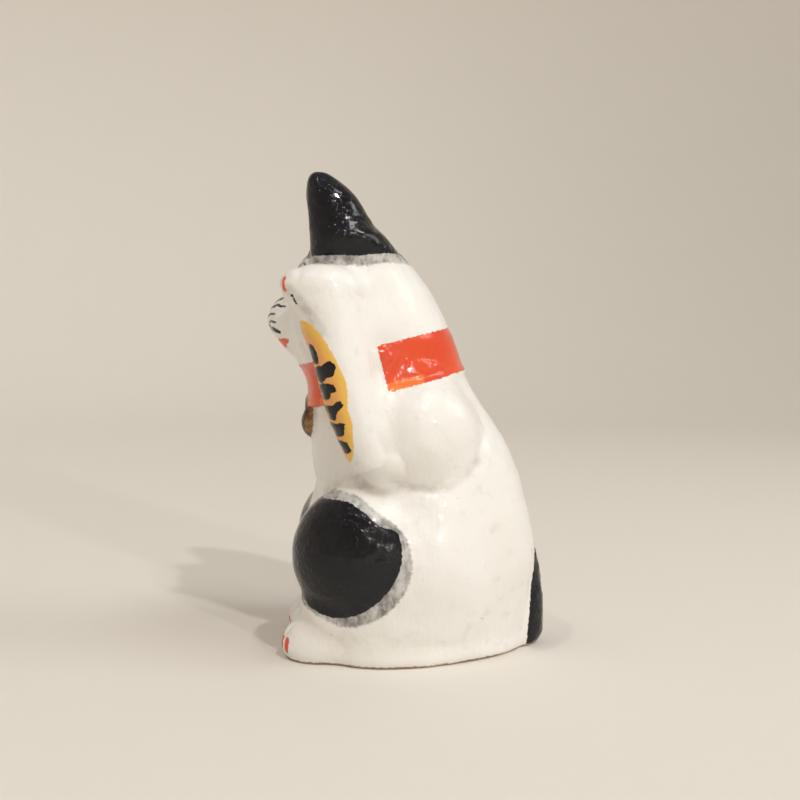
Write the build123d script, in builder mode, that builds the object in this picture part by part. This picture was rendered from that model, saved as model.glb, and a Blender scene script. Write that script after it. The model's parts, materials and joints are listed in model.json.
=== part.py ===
from build123d import *

import os
from collections import namedtuple
from math import copysign, cos, pi, sin

os.makedirs("parts", exist_ok=True)

# A seated, beckoning cat of fired and painted clay, in millimetres.
# It faces -Y, its left side is +X, and it stands on z = 0.

# ---- Driving dimensions ----
ear_tip_height = 90.0
muzzle_front_y = -26.9
tail_back_y = 26.9
hip_half_width = 22.0
wall = 3.0
slab_thickness = 3.0
slab_edge_radius = 1.2
vent_radius = 2.0
vent_y = 4.0
seam_y = 0.0
outline_points = 12
cutter_reach = 120.0

# Level sections, each widest at its own Y. front_power and rear_power shape a section's two ends:
# 2 is a half ellipse, less is more pointed, and more is squarer.
Section = namedtuple("Section", "height front widest back half_width front_power rear_power")
body_sections = [
    Section(slab_thickness, -17.0, -3.0, 24.0, 18.6, 2.9, 1.6),
    Section(9.0, -16.6, -2.0, 24.9, 19.2, 2.6, 1.65),
    Section(15.5, -16.4, 0.0, 25.4, 19.3, 2.3, 1.75),
    Section(22.0, -16.6, 1.5, 24.8, 18.8, 2.1, 1.85),
    Section(29.0, -17.0, 2.5, 23.2, 17.6, 2.0, 1.9),
    Section(36.0, -18.0, 1.5, 21.0, 16.4, 2.0, 2.0),
    Section(42.0, -18.0, 0.0, 17.8, 15.2, 2.0, 2.0),
    Section(47.0, -17.6, -1.8, 14.3, 14.2, 2.0, 2.0),
    Section(52.0, -18.2, -3.6, 11.3, 14.0, 2.0, 2.0),
    Section(57.0, -21.0, -5.4, 10.1, 14.8, 2.0, 2.0),
    Section(61.5, -22.6, -7.2, 8.3, 15.6, 2.1, 2.0),
    Section(66.0, -22.4, -8.2, 6.3, 15.5, 2.1, 2.0),
    Section(70.0, -20.9, -8.6, 3.9, 15.2, 2.2, 2.0),
    Section(73.5, -18.4, -8.7, 1.1, 13.8, 2.3, 2.1),
    Section(76.0, -14.6, -8.7, -3.0, 9.8, 2.3, 2.2),
]
tail_sections = [
    Section(0.5, 18.0, 21.0, 24.8, 3.4, 2.0, 2.2),
    Section(2.0, 18.0, 21.0, 26.2, 4.3, 2.0, 2.2),
    Section(4.8, 18.0, 21.0, tail_back_y, 4.7, 2.0, 2.2),
    Section(9.0, 18.0, 21.0, 26.8, 4.5, 2.0, 2.2),
    Section(13.5, 18.0, 21.0, 26.4, 3.7, 2.0, 2.2),
    Section(17.0, 18.0, 21.0, 25.7, 2.5, 2.0, 2.0),
    Section(19.4, 18.0, 21.0, 24.6, 1.0, 2.0, 2.0),
]
# The ears are half cones: nearly flat in front, with their backs sloping down to the crown.
ear_sections = [
    Section(69.0, -17.0, -9.0, -1.0, 5.2, 3.0, 2.0),
    Section(75.3, -18.1, -10.3, -2.5, 6.4, 3.0, 2.0),
    Section(80.5, -18.4, -12.4, -6.4, 5.4, 3.0, 2.0),
    Section(83.7, -18.6, -13.5, -8.3, 4.4, 2.8, 2.0),
    Section(86.9, -18.6, -14.7, -10.8, 3.1, 2.4, 2.0),
    Section(88.8, -18.3, -15.8, -13.2, 1.8, 2.2, 2.0),
    Section(89.7, -17.7, -16.2, -14.7, 1.0, 2.0, 2.0),
    Section(ear_tip_height, -16.9, -16.3, -15.7, 0.35, 2.0, 2.0),
]
ear_root_x = 8.6
ear_lean = 0.07

# Rounded lumps: the centre, and the radius along X, Y and Z. Paired ones are on the left side.
Lump = namedtuple("Lump", "centre radii")
crown = Lump((0.0, -8.7, 68.0), (13.4, 11.6, 8.8))
haunch = Lump((hip_half_width - 10.0, -8.4, 19.6), (10.0, 12.9, 12.6))
hip = Lump((9.6, 2.0, 16.5), (10.6, 15.0, 14.5))
shin = Lump((11.2, -12.2, 10.6), (7.4, 7.4, 9.2))
muzzle = Lump((0.0, muzzle_front_y + 7.0, 62.0), (8.2, 7.0, 6.9))
chin = Lump((0.0, -18.0, 58.0), (6.2, 4.6, 4.6))
raised_shoulder = Lump((11.8, 1.4, 41.2), (7.4, 11.2, 10.3))
resting_shoulder = Lump((-11.4, 0.6, 41.6), (6.8, 10.4, 9.6))
raised_elbow = Lump((13.6, -3.6, 37.2), (5.4, 5.6, 5.2))
raised_paw = Lump((16.0, -15.6, 68.0), (5.0, 7.2, 4.8))
raised_toes = Lump((16.0, -19.6, 68.9), (3.9, 3.6, 3.1))
hind_foot = Lump((10.2, -15.0, 3.2), (6.0, 8.0, 5.2))
resting_paw = Lump((-2.4, -17.4, 3.2), (3.8, 4.8, 4.0))
bell_relief = Lump((0.0, -17.8, 42.9), (3.1, 2.3, 3.1))

# Foreleg rings: the centre, the radius along X, and the radius across the limb in the YZ plane.
Ring = namedtuple("Ring", "centre across_x across_yz")
raised_rings = [
    Ring((14.0, -5.4, 37.0), 5.0, 4.9),
    Ring((15.2, -8.8, 43.6), 4.9, 4.8),
    Ring((15.9, -11.0, 51.0), 4.9, 5.0),
    Ring((16.2, -13.1, 60.0), 4.9, 5.4),
    Ring((16.1, -15.2, 67.0), 4.9, 6.4),
]
resting_rings = [
    Ring((-12.0, -5.0, 45.0), 5.4, 6.4),
    Ring((-10.2, -9.8, 36.0), 5.4, 6.0),
    Ring((-7.0, -13.6, 25.0), 4.6, 5.0),
    Ring((-4.0, -15.6, 13.0), 3.9, 4.4),
    Ring((-2.6, -16.6, 3.4), 3.7, 4.2),
]

# Collar band: a belt round the neck, lower at the throat than at the nape.
collar_relief = 1.3
collar_width = 8.4
collar_tilt = 12.0
collar_middle = (0.0, -3.0, 53.5)
collar_lowest_section = 36.0
collar_highest_section = 70.0

# The loop that the bell hangs from, standing on the bell's upper edge.
loop_radius = 1.25
loop_wire_radius = 0.6
loop_centre = (0.0, -18.6, 46.0)


def level_outline(section, inset=0.0, centre_x=0.0):
    """Points round a closed level outline that is symmetric about centre_x."""
    half_width = section.half_width - inset
    points = []
    for k in range(outline_points):
        angle = 2 * pi * k / outline_points
        rearward = cos(angle) > 0
        power = section.rear_power if rearward else section.front_power
        reach = section.back - section.widest if rearward else section.widest - section.front
        along = copysign(abs(cos(angle)) ** (2 / power), cos(angle))
        across = copysign(abs(sin(angle)) ** (2 / power), sin(angle))
        points.append((centre_x + half_width * across, section.widest + (reach - inset) * along))
    return points


def ellipsoid(lump, inset=0.0, side=1):
    """A lump as a solid, smaller by inset, on its own side (1) or mirrored across X (-1)."""
    x, y, z = lump.centre
    radii = tuple(radius - inset for radius in lump.radii)
    ball = Sphere(1, mode=Mode.PRIVATE)
    return Pos(side * x, y, z) * scale(ball, by=radii, mode=Mode.PRIVATE)


def limb(rings):
    """A foreleg lofted through rings that stand square to its centre line."""
    with BuildPart() as lofted:
        for k, ring in enumerate(rings):
            before = Vector(*rings[max(k - 1, 0)].centre)
            after = Vector(*rings[min(k + 1, len(rings) - 1)].centre)
            with BuildSketch(Plane(ring.centre, x_dir=(1, 0, 0), z_dir=after - before)):
                Ellipse(ring.across_x, ring.across_yz)
        loft()
    return lofted.part


# Solids that several pieces are trimmed by.
above_ground = Box(cutter_reach, cutter_reach, cutter_reach, align=(Align.CENTER, Align.CENTER, Align.MIN))
above_slab = Pos(0, 0, slab_thickness) * above_ground
collar_slice = Box(cutter_reach, cutter_reach, collar_width)
collar_slice = Pos(*collar_middle) * Rot(collar_tilt, 0, 0) * collar_slice
raised_limb = limb(raised_rings)
resting_limb = limb(resting_rings)

# ---- The outside of the body and head, which every luted-on piece is fitted to ----
with BuildPart() as body_outside:
    for s in body_sections:
        with BuildSketch(Plane.XY.offset(s.height)):
            with BuildLine():
                Spline(*level_outline(s), periodic=True)
            make_face()
    loft()
    add(ellipsoid(crown))
    add(ellipsoid(muzzle))
    add(ellipsoid(chin))
    for side in (1, -1):
        for lump in (haunch, hip, shin):
            add(ellipsoid(lump, side=side) & above_slab)

# ---- The hollow inside: the same sections, a wall's thickness in ----
crown_height = crown.centre[2] + crown.radii[2]
with BuildPart() as hollow:
    for s in body_sections:
        lowered = wall * (s.height - slab_thickness) / (crown_height - slab_thickness)
        with BuildSketch(Plane.XY.offset(s.height - lowered)):
            with BuildLine():
                Spline(*level_outline(s, inset=wall), periodic=True)
            make_face()
    loft()
    for side in (1, -1):
        for lump in (haunch, hip):
            add(ellipsoid(lump, inset=wall, side=side) & above_slab)

# ---- Two press-moulded halves, luted together along an upright seam ----
with BuildPart() as body_front_shell:
    add(body_outside.part)
    add(hollow.part, mode=Mode.SUBTRACT)
    split(bisect_by=Plane.XZ.offset(-seam_y), keep=Keep.TOP)

with BuildPart() as body_rear_shell:
    add(body_outside.part)
    add(hollow.part, mode=Mode.SUBTRACT)
    split(bisect_by=Plane.XZ.offset(-seam_y), keep=Keep.BOTTOM)

# ---- Slab that closes the body underneath, with the hole that lets it vent in the kiln ----
with BuildPart() as base_slab:
    with BuildSketch():
        with BuildLine():
            Spline(*level_outline(body_sections[0]), periodic=True)
        make_face()
    extrude(amount=slab_thickness)
    fillet(base_slab.edges().group_by(Axis.Z)[0], radius=slab_edge_radius)
    with Locations((0, vent_y, 0)):
        Hole(radius=vent_radius)

# ---- Ears ----
with BuildPart() as left_ear:
    for s in ear_sections:
        lean = ear_root_x + ear_lean * (s.height - ear_sections[0].height)
        with BuildSketch(Plane.XY.offset(s.height)):
            with BuildLine():
                Spline(*level_outline(s, centre_x=lean), periodic=True)
            make_face()
    loft()
    add(body_outside.part, mode=Mode.SUBTRACT)

with BuildPart() as right_ear:
    add(mirror(left_ear.part, about=Plane.YZ, mode=Mode.PRIVATE))

# ---- Hind feet ----
with BuildPart() as left_hind_foot:
    add(ellipsoid(hind_foot))
    add(above_ground, mode=Mode.INTERSECT)
    add(body_outside.part, mode=Mode.SUBTRACT)
    add(base_slab.part, mode=Mode.SUBTRACT)

with BuildPart() as right_hind_foot:
    add(mirror(left_hind_foot.part, about=Plane.YZ, mode=Mode.PRIVATE))

# ---- Forelegs: the left one raised beside the cheek, the right one down to the ground ----
with BuildPart() as raised_left_foreleg:
    add(raised_limb)
    add(ellipsoid(raised_shoulder))
    add(ellipsoid(raised_elbow))
    add(ellipsoid(raised_paw))
    add(ellipsoid(raised_toes))
    add(body_outside.part, mode=Mode.SUBTRACT)
    add(left_ear.part, mode=Mode.SUBTRACT)

with BuildPart() as resting_right_foreleg:
    add(resting_limb)
    add(ellipsoid(resting_shoulder))
    add(ellipsoid(resting_paw))
    add(above_ground, mode=Mode.INTERSECT)
    add(body_outside.part, mode=Mode.SUBTRACT)
    add(base_slab.part, mode=Mode.SUBTRACT)
    add(right_hind_foot.part, mode=Mode.SUBTRACT)

# ---- Tail ----
with BuildPart() as tail:
    for s in tail_sections:
        with BuildSketch(Plane.XY.offset(s.height)):
            with BuildLine():
                Spline(*level_outline(s), periodic=True)
            make_face()
    loft()
    add(body_outside.part, mode=Mode.SUBTRACT)
    add(base_slab.part, mode=Mode.SUBTRACT)

# ---- Collar band ----
with BuildPart() as collar_band:
    for s in body_sections:
        if collar_lowest_section <= s.height <= collar_highest_section:
            with BuildSketch(Plane.XY.offset(s.height)):
                with BuildLine():
                    Spline(*level_outline(s, inset=-collar_relief), periodic=True)
                make_face()
    loft()
    add(collar_slice, mode=Mode.INTERSECT)
    add(body_outside.part, mode=Mode.SUBTRACT)
    add(raised_left_foreleg.part, mode=Mode.SUBTRACT)
    add(resting_right_foreleg.part, mode=Mode.SUBTRACT)

# ---- Bell and its loop, in relief on the chest ----
with BuildPart() as bell_loop:
    with BuildSketch(Plane.YZ):
        with Locations((loop_centre[1], loop_centre[2] + loop_radius)):
            Circle(loop_wire_radius)
    revolve(axis=Axis(loop_centre, (0, 1, 0)), revolution_arc=360)
    add(body_outside.part, mode=Mode.SUBTRACT)
    add(collar_band.part, mode=Mode.SUBTRACT)

with BuildPart() as bell:
    add(ellipsoid(bell_relief))
    add(body_outside.part, mode=Mode.SUBTRACT)
    add(collar_band.part, mode=Mode.SUBTRACT)
    add(bell_loop.part, mode=Mode.SUBTRACT)

pieces = {
    "body_front_shell": body_front_shell,
    "body_rear_shell": body_rear_shell,
    "base_slab": base_slab,
    "left_ear": left_ear,
    "right_ear": right_ear,
    "raised_left_foreleg": raised_left_foreleg,
    "resting_right_foreleg": resting_right_foreleg,
    "left_hind_foot": left_hind_foot,
    "right_hind_foot": right_hind_foot,
    "tail": tail,
    "collar_band": collar_band,
    "bell": bell,
    "bell_loop": bell_loop,
}
for name, piece in pieces.items():
    piece.part.label = name
    export_step(piece.part, f"parts/{name}.step")
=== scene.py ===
import json
from math import radians

import bpy
import numpy as np
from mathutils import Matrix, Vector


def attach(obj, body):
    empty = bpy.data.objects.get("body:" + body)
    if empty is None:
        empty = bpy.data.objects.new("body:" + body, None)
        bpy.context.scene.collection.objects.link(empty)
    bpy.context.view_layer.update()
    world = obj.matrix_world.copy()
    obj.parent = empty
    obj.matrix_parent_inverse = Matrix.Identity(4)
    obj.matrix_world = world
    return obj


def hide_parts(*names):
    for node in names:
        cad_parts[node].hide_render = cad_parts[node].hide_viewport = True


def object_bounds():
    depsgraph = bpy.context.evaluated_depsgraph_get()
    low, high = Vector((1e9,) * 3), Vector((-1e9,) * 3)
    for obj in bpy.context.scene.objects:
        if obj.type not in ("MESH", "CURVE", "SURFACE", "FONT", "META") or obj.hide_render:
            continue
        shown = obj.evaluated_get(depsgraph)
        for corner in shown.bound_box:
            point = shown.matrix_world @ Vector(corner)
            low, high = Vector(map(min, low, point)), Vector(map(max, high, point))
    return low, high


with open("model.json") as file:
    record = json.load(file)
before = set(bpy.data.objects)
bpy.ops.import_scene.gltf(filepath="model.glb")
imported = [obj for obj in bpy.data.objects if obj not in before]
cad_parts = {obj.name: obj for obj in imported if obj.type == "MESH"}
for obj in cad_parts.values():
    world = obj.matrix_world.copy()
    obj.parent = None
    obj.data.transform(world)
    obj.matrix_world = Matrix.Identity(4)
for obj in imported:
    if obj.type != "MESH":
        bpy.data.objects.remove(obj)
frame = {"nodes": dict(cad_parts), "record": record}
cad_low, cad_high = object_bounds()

import openvdb as vdb
from mathutils import Vector, noise

# The clay is sculpted here as a distance field in millimetres, negative inside, on a regular grid of
# voxels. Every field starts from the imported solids, so each piece keeps the place the CAD gives it.
# The cat faces -Y and its left side is +X.
MM = 0.001
VOXEL = 0.35
GRID_MARGIN = 2.45          # empty space kept round the CAD
BAND_VOXELS = 16.0          # how far from a surface its distance is still measured
SLAB_TOP = 3.0              # the CAD's base slab ends here
SEAM_Y = 0.0                # and its two shells meet here
SKIN = 0.9                  # thickness of the visible clay
BODY_SOFTNESS = 0.8         # the shells' creases are blurred by this much
COLLAR_SUNK = 1.0           # the collar is pressed this far into the neck, except in front
FOOT_SPREAD = 0.5
PAINT_LAP = 0.15            # paint reaches this far past a piece
ON_LEG = 0.6                # and this near the foreleg it still counts as on it
FAR = 5.0                   # distances to an outline are not measured beyond this


def millimetres(corner):
    return np.array(corner, float) / MM


grid_low = np.floor((millimetres(cad_low) - GRID_MARGIN) / VOXEL).astype(int)
grid_high = np.ceil((millimetres(cad_high) + GRID_MARGIN) / VOXEL).astype(int)
grid_shape = tuple(int(n) for n in grid_high - grid_low + 1)
x_at = ((grid_low[0] + np.arange(grid_shape[0])) * VOXEL).astype(np.float32)[:, None, None]
y_at = ((grid_low[1] + np.arange(grid_shape[1])) * VOXEL).astype(np.float32)[None, :, None]
z_at = ((grid_low[2] + np.arange(grid_shape[2])) * VOXEL).astype(np.float32)[None, None, :]
voxel_transform = vdb.createLinearTransform(voxelSize=VOXEL)
grid_corner = tuple(int(n) for n in grid_low)


# ---------------------------------------------------------------- distance fields

def dense(level_set):
    """The values of a level set on the whole grid."""
    values = np.empty(grid_shape, np.float32)
    level_set.copyToArray(values, ijk=grid_corner)
    return values


def node_field(name):
    """Distance to one CAD node."""
    mesh = frame["nodes"][name].data
    points = np.empty(len(mesh.vertices) * 3, np.float32)
    mesh.vertices.foreach_get("co", points)
    mesh.calc_loop_triangles()
    triangles = np.empty(len(mesh.loop_triangles) * 3, np.int32)
    mesh.loop_triangles.foreach_get("vertices", triangles)
    return dense(vdb.FloatGrid.createLevelSetFromPolygons(
        points.reshape(-1, 3) / MM,
        triangles=triangles.reshape(-1, 3).astype(np.uint32),
        transform=voxel_transform,
        halfWidth=BAND_VOXELS,
    ))


def surface_of(values):
    """Points and quads of the surface where a field is zero."""
    grid = vdb.FloatGrid(float(values.max()))
    grid.transform = voxel_transform
    grid.copyFromArray(values, ijk=grid_corner)
    return grid.convertToQuads(isovalue=0.0)


def blurred(values, sigma):
    """Gaussian blur; sigma is in millimetres."""
    reach = int(np.ceil(2.5 * sigma / VOXEL))
    steps = np.arange(-reach, reach + 1)
    weights = np.exp(-0.5 * (steps * VOXEL / sigma) ** 2)
    weights /= weights.sum()
    for axis in range(3):
        total = np.zeros_like(values)
        for step, weight in zip(steps, weights):
            total += np.float32(weight) * np.roll(values, step, axis=axis)
        values = total
    return values


def smooth_step(value, low, high):
    t = np.clip((value - low) / (high - low), 0.0, 1.0)
    return t * t * (3.0 - 2.0 * t)


def join(a, b, blend):
    """Union of two fields with a soft fillet about as wide as blend."""
    t = np.clip(0.5 + 0.5 * (b - a) / blend, 0.0, 1.0)
    return b + (a - b) * t - blend * t * (1.0 - t)


def carve(a, b, blend):
    """Field a with field b taken out of it."""
    return -join(-a, b, blend)


def ball(centre, radii):
    """Distance to an ellipsoid, true near its surface."""
    p = [(at - c) for at, c in zip((x_at, y_at, z_at), centre)]
    near = np.sqrt(sum((q / r) ** 2 for q, r in zip(p, radii)))
    far = np.sqrt(sum((q / r ** 2) ** 2 for q, r in zip(p, radii)))
    return near * (near - 1.0) / np.maximum(far, 1e-6)


def bar(start, end, radius, at):
    """Distance to a straight round bar; at holds the x, y and z where it is wanted."""
    a = np.array(start, float)
    along = np.array(end, float) - a
    away = [q - p for q, p in zip(at, a)]
    t = sum(q * d for q, d in zip(away, along)) / float(along @ along)
    t = np.clip(t, 0.0, 1.0)
    return np.sqrt(sum((q - t * d) ** 2 for q, d in zip(away, along))) - radius


def groove(field, points, radius, blend):
    """A soft furrow pressed into field along the points."""
    furrow = bar(points[0], points[1], radius, (x_at, y_at, z_at))
    for start, end in zip(points[1:], points[2:]):
        furrow = np.minimum(furrow, bar(start, end, radius, (x_at, y_at, z_at)))
    return carve(field, furrow, blend)


def both_sides(*points):
    """The points as given, then mirrored to the cat's right."""
    return [[(side * x, y, z) for x, y, z in points] for side in (1, -1)]


# ---------------------------------------------------------------- sculpting

def body_field():
    """The outside of the shells and the slab, with the hollow filled and the creases softened."""
    shells = node_field("body_front_shell")
    for name in ("body_rear_shell", "base_slab"):
        shells = np.minimum(shells, node_field(name))
    solid = shells < 0
    ahead = np.zeros_like(solid)
    ahead[:, 1:] = np.logical_or.accumulate(solid, axis=1)[:, :-1]
    behind = np.zeros_like(solid)
    behind[:, :-1] = np.logical_or.accumulate(solid[:, ::-1], axis=1)[:, ::-1][:, 1:]
    empty = np.clip(0.5 + shells / VOXEL, 0.0, 1.0)
    empty[ahead & behind] = 0.0
    points, quads = surface_of(blurred(empty, BODY_SOFTNESS) - 0.5)
    return dense(vdb.FloatGrid.createLevelSetFromPolygons(
        points, quads=quads, transform=voxel_transform, halfWidth=BAND_VOXELS
    ))


def with_filled_creases(field, where, size):
    """Only the hollows of a field filled, as by a thumb, as strongly as where says."""
    return field + where * np.minimum(blurred(field, size) - 0.12 * size - field, 0.0)


def with_face(field):
    """Round cheeks, brow, eyes and muzzle pads, with the mouth and the cleft under the nose pressed in."""
    for centre, in both_sides((8.8, -15.4, 61.6)):
        field = join(field, ball(centre, (7.4, 6.4, 7.6)), 3.4)
    field = join(field, ball((0.0, -15.8, 69.6), (9.4, 5.6, 6.6)), 3.0)
    for centre, in both_sides((5.7, -19.5, 69.0)):
        field = join(field, ball(centre, (2.9, 2.1, 2.5)), 0.9)
    field = join(field, ball((0.0, -25.2, 61.6), (2.6, 1.6, 1.3)), 1.2)
    # The muzzle slopes back underneath, down to the chin.
    below = 0.81 * (y_at + 24.5) + 0.58 * (z_at - 58.7)
    field = carve(field, np.maximum(below, 54.0 - z_at), 1.5)
    return groove(field, [(0.0, -27.1, 60.0), (0.0, -25.9, 58.7)], 0.3, 0.6)


def scooped_ear(field, side):
    """An ear with a shallow hollow in its front."""
    hollow = ball((side * 8.8, -20.1, 79.0), (3.6, 2.9, 7.0))
    return carve(field, hollow, 1.0)


fields = {name: node_field(name) for name in frame["nodes"] if not name.startswith(("body_", "base_"))}
body = body_field()
flank = smooth_step(y_at, -17.0, -9.0) * smooth_step(-z_at, -31.0, -25.0)
nape = smooth_step(y_at, -9.0, -3.0) * smooth_step(z_at, 40.0, 44.0) * smooth_step(-z_at, -66.0, -62.0)
body = with_filled_creases(body, flank + nape, 3.0)
fields["body"] = with_face(body)
fields["collar_band"] = fields["collar_band"] + COLLAR_SUNK * smooth_step(y_at, -17.5, -12.0)
fields["left_ear"] = scooped_ear(fields["left_ear"], 1)
fields["right_ear"] = scooped_ear(fields["right_ear"], -1)

clay = fields["body"]
shoulder_blend = 1.8 + 2.4 * smooth_step(y_at, -13.0, -4.0) * smooth_step(z_at, 34.0, 46.0)
for name, blend in (
    ("left_ear", 2.6),
    ("right_ear", 2.6),
    ("left_hind_foot", 2.0),
    ("right_hind_foot", 2.0),
    ("raised_left_foreleg", shoulder_blend),
    ("resting_right_foreleg", shoulder_blend),
    ("tail", 1.0),
    ("collar_band", 1.6),
    ("bell", 0.5),
    ("bell_loop", 0.9),
):
    clay = join(clay, fields[name], blend)

# The crook of the raised foreleg, thumbed smooth.
crook = smooth_step(x_at, 8.0, 11.0) * smooth_step(y_at, -10.0, -7.0)
crook = crook * smooth_step(z_at, 35.0, 39.0) * smooth_step(-z_at, -54.0, -49.0)
clay = with_filled_creases(clay, crook, 2.2)


def on_flank(places):
    """A line of points on the clay's left side, through each (y, z)."""
    y_line, z_line = np.array(places).T
    given = range(len(places))
    halves = np.linspace(0, len(places) - 1, 2 * len(places) - 1)
    found = []
    for y, z in zip(np.interp(halves, given, y_line), np.interp(halves, given, z_line)):
        across = clay[:, round(y / VOXEL - grid_low[1]), round(z / VOXEL - grid_low[2])]
        outermost = np.nonzero(across < 0)[0].max()
        found.append(((grid_low[0] + outermost + 0.5) * VOXEL, y, z))
    return found


# The fold under the raised shoulder, which turns up behind it, and the dent along the collar.
SHOULDER_FOLD = [
    (-3.0, 33.4), (0.5, 32.2), (4.0, 31.8), (7.5, 32.0), (10.6, 33.6), (12.8, 36.6), (14.2, 40.6),
]
clay = groove(clay, on_flank(SHOULDER_FOLD), -0.8, 3.6)
COLLAR_FOLD = [
    (15.4, -1.0, 51.6), (14.6, 3.0, 52.1), (11.6, 7.8, 53.3), (7.4, 10.8, 54.2), (0.0, 12.6, 54.8),
]
clay = groove(clay, COLLAR_FOLD, 0.35, 1.3)

# Toes, pressed in with a modelling stick.
PAW_X = 16.0
HIND_X = 10.2
STICK = 0.35
for spread in (-1.7, 0.2, 2.0):
    toe_x = PAW_X + spread
    clay = groove(clay, [(toe_x, -23.3, 66.2), (toe_x, -23.0, 70.8)], STICK, 0.6)
for side in (1, -1):
    for spread in (-1.9, 0.0, 1.9):
        toe_x = side * HIND_X + spread
        clay = groove(clay, [(toe_x, -23.1, 1.0), (toe_x, -22.6, 4.6), (toe_x, -21.0, 6.8)], STICK, 0.7)
# The foot of the cat, spread a little where the soft clay stood, and cut flat underneath.
clay = clay - FOOT_SPREAD * smooth_step(-z_at, -5.0, -0.2)
clay = np.maximum(clay, -z_at)
# The kiln vent.
clay = carve(clay, bar((0.0, 4.0, -4.0), (0.0, 4.0, 6.0), 2.0, (x_at, y_at, z_at)), 0.3)

points, quads = surface_of(clay)
points = points.astype(float)


# ---------------------------------------------------------------- the skin

def vertex_normals(points, quads):
    corners = points[quads]
    face = np.cross(corners[:, 2] - corners[:, 0], corners[:, 3] - corners[:, 1])
    total = np.zeros_like(points)
    for k in range(4):
        np.add.at(total, quads[:, k], face)
    return total / np.maximum(np.linalg.norm(total, axis=1, keepdims=True), 1e-12)


def sample(field, at):
    """Trilinear value of a field at points in millimetres."""
    p = at / VOXEL - grid_low
    base = np.clip(np.floor(p).astype(int), 0, np.array(grid_shape) - 2)
    t = np.clip(p - base, 0.0, 1.0)
    total = np.zeros(len(at))
    for corner in np.ndindex(2, 2, 2):
        weight = np.prod(np.where(corner, t, 1.0 - t), axis=1)
        i, j, k = (base + corner).T
        total += weight * field[i, j, k]
    return total


def unevenness(at, size):
    """Smooth noise from -1 to 1 whose lumps are about size millimetres across."""
    return np.array([noise.noise(Vector(p)) for p in (at / size).tolist()])


normals = vertex_normals(points, quads)
if normals[np.argmax(points[:, 2])][2] < 0:
    quads = quads[:, ::-1]
    normals = -normals
clean = points               # the skin before the small unevenness below moves it
x, y, z = clean.T
# How deep each point lies in a crease of the clay, from 0 to 1; the materials darken these places with
# painted shade.
hollow = np.clip(sample(clay - blurred(clay, 1.6), clean), 0.0, 1.0)


# ---------------------------------------------------------------- paint
# Each coat of paint is a signed distance in millimetres along the skin, negative where it was brushed on.

def outline(corners, across, up):
    """Signed distance to a smooth closed outline through the corners, seen from one side."""
    p = np.array(corners, float)
    before, after, beyond = np.roll(p, 1, axis=0), np.roll(p, -1, axis=0), np.roll(p, -2, axis=0)
    curve = []
    for t in np.arange(0.0, 1.0, 0.125):
        curve.append(0.5 * (
            2 * p + (after - before) * t + (2 * before - 5 * p + 4 * after - beyond) * t ** 2
            + (3 * p - before - 3 * after + beyond) * t ** 3
        ))
    a = np.stack(curve, axis=1).reshape(-1, 2)
    b = np.roll(a, -1, axis=0)
    result = np.full(len(across), FAR)
    near = (across > a[:, 0].min() - FAR) & (across < a[:, 0].max() + FAR)
    near &= (up > a[:, 1].min() - FAR) & (up < a[:, 1].max() + FAR)
    u, v = across[near], up[near]
    distance = np.full(len(u), FAR)
    crossings = np.zeros(len(u), int)
    for (au, av), (bu, bv) in zip(a, b):
        du, dv = bu - au, bv - av
        t = np.clip(((u - au) * du + (v - av) * dv) / (du * du + dv * dv), 0.0, 1.0)
        distance = np.minimum(distance, np.hypot(u - au - t * du, v - av - t * dv))
        if dv:
            crossings += ((av > v) != (bv > v)) & (u < au + (v - av) * du / dv)
    result[near] = np.where(crossings % 2 == 1, -distance, distance)
    return result


def stroke(points, radius):
    """Signed distance to a brush stroke through the points."""
    spans = [bar(start, end, radius, (x, y, z)) for start, end in zip(points, points[1:])]
    return np.minimum.reduce(spans)


def together(*coats):
    return np.minimum.reduce(coats)


def within(*coats):
    return np.maximum.reduce(coats)


# The knee patch, seen from the cat's side as (y, z), and the grey wash that shows round it.
KNEE = [
    (-13.8, 30.0), (-10.3, 29.5), (-7.3, 27.5), (-5.2, 25.8), (-2.2, 24.7), (-1.3, 20.9),
    (-2.2, 16.9), (-4.9, 13.0), (-8.6, 10.3), (-12.6, 9.2), (-16.2, 9.9), (-19.6, 11.7),
    (-23.6, 14.4), (-25.0, 20.2), (-23.0, 26.6), (-18.5, 29.5),
]
KNEE_WASH = [
    (-13.5, 31.4), (-9.3, 30.7), (-6.0, 28.4), (-2.7, 26.1), (-0.4, 23.2), (0.5, 19.5),
    (-0.2, 15.3), (-2.6, 11.6), (-6.4, 8.8), (-10.6, 7.5), (-14.4, 8.4), (-18.0, 10.2),
    (-23.6, 13.0), (-26.0, 20.2), (-24.0, 27.6), (-18.5, 30.9),
]
KNEE_FROM_FRONT = [(6.9, 20.5), (8.2, 26.0), (12.0, 30.4), (19.0, 31.5), (26.0, 20.0), (20.5, 7.5),
                   (15.0, 11.4), (9.6, 14.0)]
knee_front = outline(KNEE_FROM_FRONT, np.abs(x), z)
knee = within(outline(KNEE, y, z), knee_front)
knee_wash = within(outline(KNEE_WASH, y, z), knee_front - 1.1)

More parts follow.
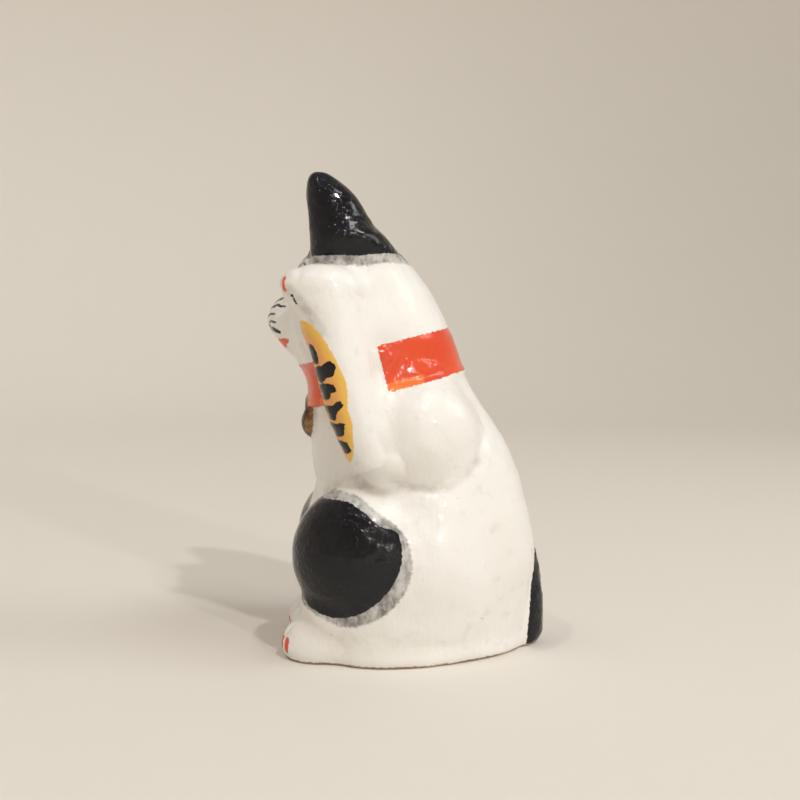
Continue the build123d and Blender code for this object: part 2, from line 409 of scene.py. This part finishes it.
# The striped patch on the raised foreleg, which wraps round its front edge, and its dabs.
STRIPED = [
    (-18.9, 62.3), (-16.0, 60.1), (-14.1, 57.3), (-12.5, 54.3), (-11.3, 51.6), (-10.9, 49.0),
    (-10.9, 46.8), (-10.2, 44.4), (-9.9, 41.4), (-9.9, 38.6), (-10.9, 36.4), (-14.5, 36.2),
    (-19.0, 43.0), (-22.0, 53.0), (-21.5, 60.0),
]
DABS = [
    [(-18.2, 57.9), (-16.9, 57.2), (-16.3, 55.0), (-16.9, 54.7), (-17.6, 56.0)],
    [(-17.4, 53.4), (-15.2, 54.2), (-14.2, 55.0), (-13.2, 54.0), (-13.7, 52.6), (-14.6, 52.3),
     (-15.6, 51.4), (-16.2, 52.0)],
    [(-16.9, 50.3), (-14.8, 50.9), (-13.6, 50.7), (-13.0, 49.9), (-13.9, 49.4), (-14.3, 48.4),
     (-15.3, 48.5), (-15.2, 49.4)],
    [(-16.0, 47.0), (-13.6, 47.0), (-12.4, 47.9), (-11.9, 47.1), (-12.8, 46.1), (-13.1, 44.8),
     (-13.8, 44.9), (-14.1, 45.9)],
    [(-14.9, 43.9), (-12.8, 43.7), (-11.7, 43.9), (-11.6, 42.9), (-11.9, 41.9), (-13.1, 41.7),
     (-13.1, 42.6)],
    [(-13.6, 40.7), (-11.9, 40.5), (-11.0, 40.2), (-10.5, 38.9), (-11.6, 38.6), (-12.0, 39.6)],
]
foreleg = sample(fields["raised_left_foreleg"], clean)
on_foreleg = foreleg - ON_LEG
STRIPED_FROM_FRONT = [(12.5, 50.0), (13.0, 57.5), (15.4, 61.6), (19.0, 63.2), (24.0, 58.0), (24.0, 40.0),
                      (18.5, 35.6), (14.6, 37.8), (12.9, 43.0)]
striped = within(outline(STRIPED, y, z), outline(STRIPED_FROM_FRONT, x, z), on_foreleg)
round_front = y - 0.35 * np.clip(17.0 - x, 0.0, None)
dabs = together(*(outline(dab, round_front, z) for dab in DABS)) - 0.2
dabs = within(dabs, 13.4 - x, on_foreleg)

# The ears are dipped in black, with a thin wash below, and their hollows are red.
ear_edge = 74.2 + 0.6 * smooth_step(y, -9.0, -3.0)
ears = within(ear_edge - z, 3.0 - 0.5 * (z - 74.0) - np.abs(x))
ear_wash = within(ear_edge - 1.7 + 0.5 * unevenness(clean, 6.0) - z, 1.8 - np.abs(x), -18.3 - y)
IN_EAR = [(8.8, 77.2), (6.6, 78.6), (6.7, 82.2), (9.4, 86.0), (11.7, 82.0), (11.6, 78.4)]
ear_red = within(outline(IN_EAR, np.abs(x), z), y + 15.6)

# The collar is a tilted band all round the neck, under the forelegs.
COLLAR_HALF = 4.3
collar_middle = 53.3 + 0.25 * (y + 5.6)
resting = sample(fields["resting_right_foreleg"], clean)
collar = within(
    np.abs(z - collar_middle) * 0.97 - COLLAR_HALF,
    0.35 - foreleg,
    0.35 - resting,
)
collar = np.where((x > 8.0) & (y > -12.5), within(collar, -5.6 + 0.25 * (57.7 - z) - y), collar)
# The strip along its lower edge, on the cat's left front, is a brighter orange.
collar_strip = within(z - collar_middle + COLLAR_HALF - 1.5, 40.0 - z, y - 3.0, 8.0 - x)
bell_loop = sample(fields["bell_loop"], clean) - PAINT_LAP
bell = sample(fields["bell"], clean) - PAINT_LAP
bell = together(bell, within(bell_loop - 0.9, z - 48.4))
collar = together(collar, bell_loop)

# Face: nose, mouth, whisker strokes, brows and eyes. Places on it are (x, z).
NOSE = [(0.0, 61.9), (2.2, 61.9), (3.6, 61.0), (2.0, 60.0), (0.0, 59.3)]
MOUTH = [(0.0, 58.7), (3.8, 59.0), (7.9, 59.0), (5.4, 57.7), (2.8, 57.1), (0.0, 56.9)]


def mirrored(half):
    """An outline drawn down the cat's left half, closed with its mirror image."""
    return half + [(-u, v) for u, v in half[-2:0:-1]]


nose = within(outline(mirrored(NOSE), x, z), y + 20.0)
mouth = within(outline(mirrored(MOUTH), x, z), y + 18.0)


def face_stroke(line, radius):
    """A pair of tapering strokes on the front of the cat, drawn through (x, z) places on its left."""
    spans = []
    for start, end in zip(line, line[1:]):
        spans.append(bar(start, end, radius, (np.abs(x), z)))
        radius *= 0.65
    return within(together(*spans), y + 17.0)


WHISKERS = [
    [(1.8, 66.0), (4.0, 67.0), (6.4, 67.3)],
    [(1.4, 65.0), (4.2, 65.5), (6.8, 65.1)],
    [(1.6, 63.5), (3.6, 63.9), (5.2, 63.7)],
    [(2.6, 62.3), (4.4, 62.4), (5.8, 62.2)],
]
LOWEST_WHISKER = [(4.1, 61.0), (5.3, 60.7), (6.3, 60.3)]
BROW = [(3.6, 72.9), (5.8, 73.6), (8.2, 72.8)]
strokes = [nose, face_stroke(BROW, 0.36), face_stroke(LOWEST_WHISKER, 0.5)]
strokes += [face_stroke(line, 0.26) for line in WHISKERS]
EYE_X, EYE_Z = 5.7, 69.1
eye = np.hypot((np.abs(x) - EYE_X) / 1.25, z - EYE_Z)
eye_front = y + 16.0
eye_rim = within(np.abs(eye - 2.05) - 0.28, eye_front)
eye_iris = within(eye - 1.9, eye_front)
pupil = within(np.hypot((np.abs(x) - EYE_X) / 0.5, z - EYE_Z) - 1.25, eye_front)

# Claws, on every toe that shows: the paw's middle, how far each claw is to its side, and their ends.
claws = []
for paw_x, spreads, top, bottom in (
    (PAW_X, (-3.0, -1.2, 0.6, 2.3), 69.8, 67.9),
    (HIND_X, (-2.9, -0.95, 0.95, 2.9), 3.8, 2.0),
    (-HIND_X, (-2.9, -0.95, 0.95, 2.9), 2.2, 1.3),
    (-2.4, (-1.4, 0.2, 1.7), 3.3, 1.8),
):
    for spread in spreads:
        claw = bar((paw_x + spread, top), (paw_x + spread, bottom), 0.5, (x, z))
        claws.append(within(claw, y + 17.5))
claws = together(*claws)

# A grey band up the front edge of the raised paw, partly smudge and partly painted shade, and the line of
# its outer toe.
paw_smudge_and_shade = stroke([(19.6, -21.4, 67.4), (20.2, -18.6, 64.2), (20.6, -16.0, 60.6)], 0.6)
TOE_LINE = [(-20.9, 66.9), (-20.4, 66.2), (-20.1, 65.4)]
toe_line = together(*(bar(start, end, 0.15, (y, z)) for start, end in zip(TOE_LINE, TOE_LINE[1:])))
strokes.append(within(toe_line, 14.0 - x, on_foreleg))
tail = within(sample(fields["tail"] - fields["body"], clean) - 0.35, 23.1 + 0.085 * z - y)
# Amber and orange tint the yellow and the red. Hollow, from 0 to 1, is where painted shade darkens the
# creases of the clay and the front edge of the raised paw.
coats = {
    "black": together(knee, dabs, ears, tail, eye_rim, pupil, *strokes),
    "wash": together(knee_wash, ear_wash),
    "red": together(collar, mouth, claws, ear_red),
    "yellow": together(striped, eye_iris),
    "amber": smooth_step(-outline(STRIPED, y, z), 0.5, 2.4),
    "orange": smooth_step(-collar_strip, -0.1, 0.2),
    "gold": bell,
    "bare": z - 0.35 - 0.9 * np.clip(-normals[:, 2] - 0.5, 0.0, 0.5),
    "hollow": hollow + 0.48 * smooth_step(-paw_smudge_and_shade, -1.8, 0.3),
}
for coat in ("black", "wash"):
    coats[coat] = within(coats[coat], -ear_red)

# The clay is uneven by hand, the black stands up in lumps, and every coat has a little thickness.
press = 0.20 * unevenness(clean, 9.0) + 0.09 * unevenness(clean + 40.0, 3.2)
thick = smooth_step(-coats["black"], -0.05, 0.5)
lumps = np.maximum(unevenness(clean + 80.0, 1.5), -0.2) * (0.35 + 0.65 * smooth_step(y, -13.0, -5.0))
press += thick * (0.08 + 0.14 * lumps) + 0.06 * smooth_step(-coats["red"], -0.05, 0.4)
press += 0.05 * smooth_step(-coats["yellow"], -0.05, 0.4)
points = clean + normals * press[:, None]
points[:, 2] = np.maximum(points[:, 2], 0.0)
normals = vertex_normals(points, quads)
# The inner skin lies no deeper than the clay allows, so that it cannot come out on the other side.
depth = np.clip(-0.8 * sample(clay, clean - normals * SKIN), 0.12, SKIN)


# ---------------------------------------------------------------- pieces

def owners():
    """The name of the CAD node that each quad belongs to."""
    centres = clean[quads].mean(axis=1)
    names = sorted(fields)
    nearest = np.argmin([sample(fields[name], centres) for name in names], axis=0)
    # Every quad goes the way most of its neighbours do, which evens out the borders.
    for _ in range(4):
        votes = np.zeros((len(clean), len(names)))
        for k in range(4):
            np.add.at(votes, (quads[:, k], nearest), 1.0)
        nearest = votes[quads].sum(axis=1).argmax(axis=1)
    owner = np.array(names, dtype=object)[nearest]
    body = owner == "body"
    owner[body] = np.where(centres[body][:, 1] < SEAM_Y, "body_front_shell", "body_rear_shell")
    owner[body & (centres[:, 2] < SLAB_TOP)] = "base_slab"
    return owner


def make_piece(name, chosen, wanted):
    """One closed piece: its part of the skin, the same surface a little way in, and a rim between."""
    used, index = np.unique(quads[chosen], return_inverse=True)
    faces = index.reshape(-1, 4)
    outside = points[used]
    inside = outside - normals[used] * depth[used, None]
    count = len(used)
    edges = np.concatenate([faces[:, [k, (k + 1) % 4]] for k in range(4)])
    forward = edges[:, 0] * count + edges[:, 1]
    backward = edges[:, 1] * count + edges[:, 0]
    rim = edges[~np.isin(forward, backward)]
    rim_faces = np.stack([rim[:, 1], rim[:, 0], rim[:, 0] + count, rim[:, 1] + count], axis=1)
    all_faces = np.concatenate([faces, faces[:, ::-1] + count, rim_faces])
    mesh = bpy.data.meshes.new(name)
    mesh.from_pydata((np.concatenate([outside, inside]) * MM).tolist(), [], all_faces.tolist())
    mesh.polygons.foreach_set("use_smooth", np.ones(len(all_faces), bool))
    for coat in wanted:
        values = np.tile(coats[coat][used], 2).astype(np.float32)
        mesh.attributes.new(coat, "FLOAT", "POINT").data.foreach_set("value", values)
    mesh.update()
    mesh.normals_split_custom_set_from_vertices(
        np.concatenate([normals[used], -normals[used]]).tolist()
    )
    piece = bpy.data.objects.new(name, mesh)
    bpy.context.scene.collection.objects.link(piece)
    return piece


# ---------------------------------------------------------------- materials

class Nodes:
    """Short names for the shader nodes used below, in one node tree."""

    def __init__(self, name):
        self.material = bpy.data.materials.new(name)
        self.material.use_nodes = True
        self.tree = self.material.node_tree
        self.shader = self.tree.nodes["Principled BSDF"]
        self.place = self.tree.nodes.new("ShaderNodeTexCoord").outputs["Object"]

    def put(self, socket, value):
        if isinstance(value, bpy.types.NodeSocket):
            self.tree.links.new(value, socket)
        else:
            socket.default_value = value

    def new(self, kind, **inputs):
        node = self.tree.nodes.new(kind)
        for name, value in inputs.items():
            self.put(node.inputs[name.replace("_", " ")], value)
        return node

    def attribute(self, name):
        node = self.tree.nodes.new("ShaderNodeAttribute")
        node.attribute_name = name
        return node.outputs["Fac"]

    def maths(self, operation, first, second=0.0):
        node = self.tree.nodes.new("ShaderNodeMath")
        node.operation = operation
        self.put(node.inputs[0], first)
        self.put(node.inputs[1], second)
        return node.outputs[0]

    def ramp(self, value, low, high, to_low=0.0, to_high=1.0):
        node = self.tree.nodes.new("ShaderNodeMapRange")
        node.interpolation_type = "SMOOTHSTEP"
        for socket, entry in zip(node.inputs, (value, low, high, to_low, to_high)):
            self.put(socket, entry)
        return node.outputs["Result"]

    def noise(self, size, detail=3.0, roughness=0.55, stretch=(1.0, 1.0, 1.0), shift=0.0):
        """Noise from 0 to 1 with lumps about size millimetres across."""
        mapping = self.new("ShaderNodeMapping", Vector=self.place, Scale=stretch,
                           Location=(shift, shift, shift))
        node = self.new("ShaderNodeTexNoise", Vector=mapping.outputs[0], Scale=1.0 / (size * MM),
                        Detail=detail, Roughness=roughness)
        return node.outputs["Fac"]

    def mix(self, factor, first, second):
        """Blend of two colours, or of two numbers."""
        node = self.tree.nodes.new("ShaderNodeMix")
        is_colour = isinstance(first, tuple) or (
            isinstance(first, bpy.types.NodeSocket) and first.type == "RGBA")
        node.data_type = "RGBA" if is_colour else "FLOAT"
        slots = (6, 7) if is_colour else (2, 3)
        for slot, value in zip(slots, (first, second)):
            if is_colour and isinstance(value, tuple):
                value = (*value, 1.0)
            self.put(node.inputs[slot], value)
        self.put(node.inputs[0], factor)
        return node.outputs[2 if is_colour else 0]


WHITE = (0.85, 0.83, 0.795)
CREAM = (0.79, 0.745, 0.68)
# The brown-grey of the painted shade in creases and of the dark specks.
SHADE_AND_STAIN = (0.42, 0.37, 0.31)
GREY = (0.42, 0.405, 0.385)
BLACK = (0.0022, 0.0022, 0.0045)
WORN_BLACK = (0.006, 0.006, 0.009)
WASH = (0.115, 0.110, 0.108)
RED = (0.72, 0.070, 0.026)
ORANGE_RED = (0.86, 0.150, 0.045)
BRIGHT_ORANGE = (0.92, 0.205, 0.050)
YELLOW = (0.86, 0.51, 0.095)
AMBER = (0.82, 0.36, 0.11)
BRONZE = (0.36, 0.20, 0.085)
DARK_BRONZE = (0.085, 0.040, 0.026)
CLAY = (0.40, 0.27, 0.175)
CLAY_PALE = (0.56, 0.44, 0.32)


def painted_clay(name, layers, metallic=0.0, coat=0.22):
    """Gesso over clay, with painted shade in its creases and the named coats of paint brushed over it,
    varnished.
    """
    n = Nodes(name)
    broad = n.noise(14.0, detail=2.0)
    medium = n.noise(3.2, detail=4.0, shift=0.031)
    fine = n.noise(0.7, detail=3.0, shift=0.017)
    speck = n.noise(1.6, detail=2.0, shift=0.053)
    ragged = n.noise(0.75, detail=3.0, roughness=0.65, shift=0.071)
    brush = n.noise(1.1, detail=3.0, stretch=(1.0, 1.0, 0.6), shift=0.013)

    colour = n.mix(n.ramp(broad, 0.42, 0.72, 0.0, 0.40), WHITE, CREAM)
    colour = n.mix(n.ramp(medium, 0.56, 0.74, 0.0, 0.17), colour, GREY)
    # Creases darken towards the brown-grey as painted shade; the specks below take the same colour as dark
    # pits.
    crease_shade = n.ramp(n.attribute("hollow"), 0.09, 0.60)
    crease_shade = n.maths("MULTIPLY", crease_shade, n.ramp(medium, 0.30, 0.62, 0.25, 0.75))
    colour = n.mix(crease_shade, colour, SHADE_AND_STAIN)
    colour = n.mix(n.ramp(speck, 0.735, 0.80, 0.0, 0.55), colour, SHADE_AND_STAIN)
    rough = n.ramp(medium, 0.25, 0.75, 0.27, 0.42)
    height = n.maths("MULTIPLY", brush, 0.070)
    height = n.maths("ADD", height, n.maths("MULTIPLY", medium, 0.16))
    height = n.maths("ADD", height, n.ramp(speck, 0.70, 0.80, 0.0, -0.10))

    def brushed(layer, ragged_by, soft, grow=0.0):
        """Where a coat covers, with a brushed edge."""
        wobble = n.maths("MULTIPLY", n.maths("SUBTRACT", ragged, 0.5), ragged_by)
        edge = n.maths("ADD", n.attribute(layer), wobble)
        return n.ramp(edge, grow + soft, grow - soft)

    if "yellow" in layers:
        mask = brushed("yellow", 0.7, 0.14)
        shade = n.maths("MULTIPLY", n.attribute("amber"), n.ramp(brush, 0.3, 0.7, 0.75, 1.0))
        tone = n.mix(shade, YELLOW, AMBER)
        colour = n.mix(mask, colour, tone)
    if "red" in layers:
        mask = brushed("red", 0.8, 0.10)
        tone = n.mix(n.ramp(broad, 0.35, 0.75, 0.0, 0.6), RED, ORANGE_RED)
        tone = n.mix(n.attribute("orange"), tone, BRIGHT_ORANGE)
        colour = n.mix(mask, colour, tone)
        rough = n.mix(mask, rough, 0.14)
        height = n.maths("ADD", height, n.maths("MULTIPLY", mask, 0.05))
    if "gold" in layers:
        mask = brushed("gold", 0.3, 0.12)
        tone = n.mix(n.ramp(medium, 0.38, 0.62), BRONZE, DARK_BRONZE)
        colour = n.mix(mask, colour, tone)
        rough = n.mix(mask, rough, 0.38)
    if "wash" in layers:
        mask = brushed("wash", 1.1, 0.30)
        mask = n.maths("MULTIPLY", mask, n.ramp(medium, 0.32, 0.66, 0.48, 0.95))
        tone = n.mix(n.ramp(brush, 0.36, 0.66), WASH, GREY)
        colour = n.mix(mask, colour, tone)
        rough = n.mix(mask, rough, 0.40)
    if "black" in layers:
        mask = brushed("black", 0.8, 0.07)
        tone = n.mix(n.ramp(medium, 0.45, 0.70), BLACK, WORN_BLACK)
        colour = n.mix(mask, colour, tone)
        rough = n.mix(mask, rough, 0.07)
        lumps_in_black = n.ramp(n.noise(0.9, detail=2.0, shift=0.091), 0.48, 0.72, 0.0, 0.06)
        height = n.mix(mask, height, lumps_in_black)
    if "bare" in layers:
        mask = brushed("bare", 1.3, 0.12)
        tone = n.mix(n.ramp(medium, 0.35, 0.65), CLAY, CLAY_PALE)
        colour = n.mix(mask, colour, tone)
        rough = n.mix(mask, rough, 0.85)

    n.put(n.shader.inputs["Base Color"], colour)
    n.put(n.shader.inputs["Roughness"], rough)
    bump = n.new("ShaderNodeBump", Strength=1.0, Distance=MM, Height=height)
    n.put(n.shader.inputs["Normal"], bump.outputs[0])
    n.shader.inputs["Metallic"].default_value = metallic
    n.shader.inputs["IOR"].default_value = 1.36
    n.shader.inputs["Coat Weight"].default_value = coat
    n.shader.inputs["Coat Roughness"].default_value = 0.05
    n.shader.inputs["Coat IOR"].default_value = 1.5
    return n.material


# The coats that each slot's pieces carry; a coat is left out of a piece that none of it reaches.
PAINTS = ("yellow", "red", "gold", "wash", "black", "bare")
METALLIC = {"gold_paint": 0.45}
materials = {}


def material_for(slot, layers):
    key = (slot, *layers)
    if key not in materials:
        name = "_".join(("painted", slot, *layers))
        materials[key] = painted_clay(name, layers, METALLIC.get(slot, 0.0))
    return materials[key]


record = frame["record"]
slots = {entry["node"]: entry["material_slot"] for entry in record["subparts"]}
owner = owners()
for node in sorted(frame["nodes"]):
    chosen = owner == node
    reached = np.unique(quads[chosen])
    layers = tuple(coat for coat in PAINTS if coats[coat][reached].min() < 0.5)
    wanted = layers + ("hollow",) + (("amber",) if "yellow" in layers else ())
    wanted += ("orange",) if "red" in layers else ()
    piece = make_piece("painted_" + node, chosen, wanted)
    piece.data.materials.append(material_for(slots[node], layers))
    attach(piece, "root")
    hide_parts(node)


# ---------------------------------------------------------------- stage, lights and camera

def plain_material(name, colour, roughness):
    material = bpy.data.materials.new(name)
    material.use_nodes = True
    shader = material.node_tree.nodes["Principled BSDF"]
    shader.inputs["Base Color"].default_value = (*colour, 1.0)
    shader.inputs["Roughness"].default_value = roughness
    return material


def floor():
    """A pale disc that curls up to a low rim far out, so every view sees one even tone behind the cat."""
    flat, bend = 0.55, 0.5
    rings = [(0.25, 0.0), (flat, 0.0)]
    for k in range(1, 13):
        angle = radians(90.0 * k / 12)
        rings.append((flat + bend * np.sin(angle), bend - bend * np.cos(angle)))
    rings.append((flat + bend, 1.6))
    sides = 96
    verts = [(0.0, 0.0, 0.0)]
    for radius, height in rings:
        for k in range(sides):
            angle = radians(360.0 * k / sides)
            verts.append((radius * np.cos(angle), radius * np.sin(angle), height))
    faces = [(0, 1 + k, 1 + (k + 1) % sides) for k in range(sides)]
    for ring in range(len(rings) - 1):
        inner, outer = 1 + ring * sides, 1 + (ring + 1) * sides
        for k in range(sides):
            after = (k + 1) % sides
            faces.append((inner + k, outer + k, outer + after, inner + after))
    mesh = bpy.data.meshes.new("floor")
    mesh.from_pydata(verts, [], faces)
    mesh.polygons.foreach_set("use_smooth", np.ones(len(faces), bool))
    dish = bpy.data.objects.new("floor", mesh)
    bpy.context.scene.collection.objects.link(dish)
    mesh.materials.append(plain_material("pale_floor", (0.82, 0.775, 0.71), 0.75))


def area_light(name, place, target, size, watts, colour):
    data = bpy.data.lights.new(name, "AREA")
    data.shape = "DISK"
    data.size = size
    data.energy = watts
    data.color = colour
    light = bpy.data.objects.new(name, data)
    light.location = place
    light.rotation_mode = "QUATERNION"
    light.rotation_quaternion = (Vector(target) - Vector(place)).to_track_quat("-Z", "Y")
    bpy.context.scene.collection.objects.link(light)


def sun_light(towards, spread, strength, colour):
    data = bpy.data.lights.new("sun", "SUN")
    data.angle = radians(spread)
    data.energy = strength
    data.color = colour
    light = bpy.data.objects.new("sun", data)
    light.rotation_mode = "QUATERNION"
    light.rotation_quaternion = Vector(towards).to_track_quat("Z", "Y")
    bpy.context.scene.collection.objects.link(light)


floor()
LAMP = (1.0, 0.985, 0.955)
DAYLIGHT = (0.93, 0.97, 1.0)
middle = (Vector(cad_low) + Vector(cad_high)) / 2
sun_light((0.35, 0.45, 0.85), 20.0, 0.74, LAMP)
# Three small lamps make the sharp glints in the varnish, and a window the soft one.
for name, towards, distance, size, watts, colour in (
    ("ceiling_a", (0.62, 0.27, 0.72), 0.85, 0.030, 1.75, LAMP),
    ("ceiling_b", (0.28, -0.32, 0.88), 0.85, 0.022, 0.6, LAMP),
    ("ceiling_c", (0.72, 0.40, 0.26), 0.85, 0.026, 1.25, LAMP),
    ("window", (0.15, 0.80, 0.55), 0.70, 0.30, 0.95, DAYLIGHT),
):
    area_light(name, middle + Vector(towards).normalized() * distance, middle, size, watts, colour)
world = bpy.data.worlds.new("studio")
world.use_nodes = True
world.node_tree.nodes["Background"].inputs["Color"].default_value = (0.96, 0.955, 0.94, 1.0)
world.node_tree.nodes["Background"].inputs["Strength"].default_value = 0.40
bpy.context.scene.world = world
bpy.context.scene.view_settings.view_transform = "Standard"

# The camera looks level at the cat's left side, from the height of its muzzle. The photograph's
# framing has the cat a little right of and below the line of sight, which the shift gives.
EYE = Vector((0.212, -0.009, 0.0589))
camera_data = bpy.data.cameras.new("camera")
camera_data.sensor_width = 36.0
camera_data.lens = 48.8
camera_data.shift_x, camera_data.shift_y = 0.052, -0.0755
camera_data.clip_start, camera_data.clip_end = 0.01, 10.0
camera = bpy.data.objects.new("camera", camera_data)
camera.location = EYE
camera.rotation_euler = (radians(90.0), 0.0, radians(90.0))
bpy.context.scene.collection.objects.link(camera)
bpy.context.scene.camera = camera
